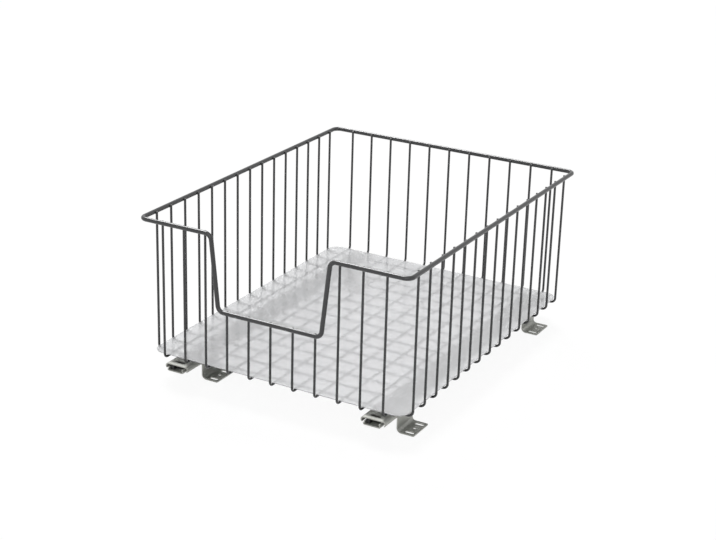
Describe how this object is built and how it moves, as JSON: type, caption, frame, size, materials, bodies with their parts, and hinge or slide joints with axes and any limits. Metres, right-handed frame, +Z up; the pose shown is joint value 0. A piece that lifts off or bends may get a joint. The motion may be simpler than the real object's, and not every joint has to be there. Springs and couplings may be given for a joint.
{
  "type": "pull out cabinet basket",
  "caption": "Wire basket with a dipped front that pulls out of a cabinet on two ball slides, with screw-down Z feet and a loose frosted floor liner.",
  "frame": {"origin": "on the cabinet floor under the middle of the rim: the centre of the bottom of the bounding box", "axes": "+X to the right seen from the open front, +Y from the front to the back of the cabinet, +Z up; the basket pulls out along -Y"},
  "size_m": [0.3546, 0.4502, 0.2039],
  "materials": {
    "coated_wire": "satin dark grey coating",
    "zinc_steel": "dull zinc plate",
    "cage_steel": "plain rolled steel",
    "ball_steel": "polished",
    "rivet_steel": "dull zinc plate",
    "black_plastic": "matt black",
    "frosted_sheet": "frosted, see-through"
  },
  "bodies": {
    "base": {"left_fixed_rail": "zinc_steel", "right_fixed_rail": "zinc_steel", "left_front_bracket": "zinc_steel", "left_rear_bracket": "zinc_steel", "right_front_bracket": "zinc_steel", "right_rear_bracket": "zinc_steel", "left_front_rivets": "rivet_steel", "left_rear_rivets": "rivet_steel", "right_front_rivets": "rivet_steel", "right_rear_rivets": "rivet_steel", "left_bumper": "black_plastic", "right_bumper": "black_plastic"},
    "basket": {"rim": "coated_wire", "lengthwise_wire_01": "coated_wire", "lengthwise_wire_02": "coated_wire", "lengthwise_wire_03": "coated_wire", "lengthwise_wire_04": "coated_wire", "lengthwise_wire_05": "coated_wire", "lengthwise_wire_06": "coated_wire", "lengthwise_wire_07": "coated_wire", "lengthwise_wire_08": "coated_wire", "lengthwise_wire_09": "coated_wire", "lengthwise_wire_10": "coated_wire", "lengthwise_wire_11": "coated_wire", "crosswise_wire_01": "coated_wire", "crosswise_wire_02": "coated_wire", "crosswise_wire_03": "coated_wire", "crosswise_wire_04": "coated_wire", "crosswise_wire_05": "coated_wire", "crosswise_wire_06": "coated_wire", "crosswise_wire_07": "coated_wire", "crosswise_wire_08": "coated_wire", "crosswise_wire_09": "coated_wire", "crosswise_wire_10": "coated_wire", "crosswise_wire_11": "coated_wire", "crosswise_wire_12": "coated_wire", "crosswise_wire_13": "coated_wire", "crosswise_wire_14": "coated_wire", "crosswise_wire_15": "coated_wire", "left_moving_rail": "zinc_steel", "right_moving_rail": "zinc_steel"},
    "left_cage": {"left_ball_cage": "cage_steel", "left_balls": "ball_steel"},
    "right_cage": {"right_ball_cage": "cage_steel", "right_balls": "ball_steel"},
    "liner": {"liner": "frosted_sheet"}
  },
  "joints": [
    {"name": "basket_slide", "type": "slide", "parent": "base", "child": "basket", "axis": [0, -1, 0], "range_m": [0, 0.32]},
    {"name": "left_cage_slide", "type": "slide", "parent": "base", "child": "left_cage", "axis": [0, -1, 0], "range_m": [0, 0.16]},
    {"name": "right_cage_slide", "type": "slide", "parent": "base", "child": "right_cage", "axis": [0, -1, 0], "range_m": [0, 0.16]},
    {"name": "liner_lift", "type": "slide", "parent": "basket", "child": "liner", "axis": [0, 0, 1], "range_m": [0, 0.18]}
  ],
  "couplings": [
    {"joint": "left_cage_slide", "follows": "basket_slide", "ratio": 0.5},
    {"joint": "right_cage_slide", "follows": "basket_slide", "ratio": 0.5}
  ]
}
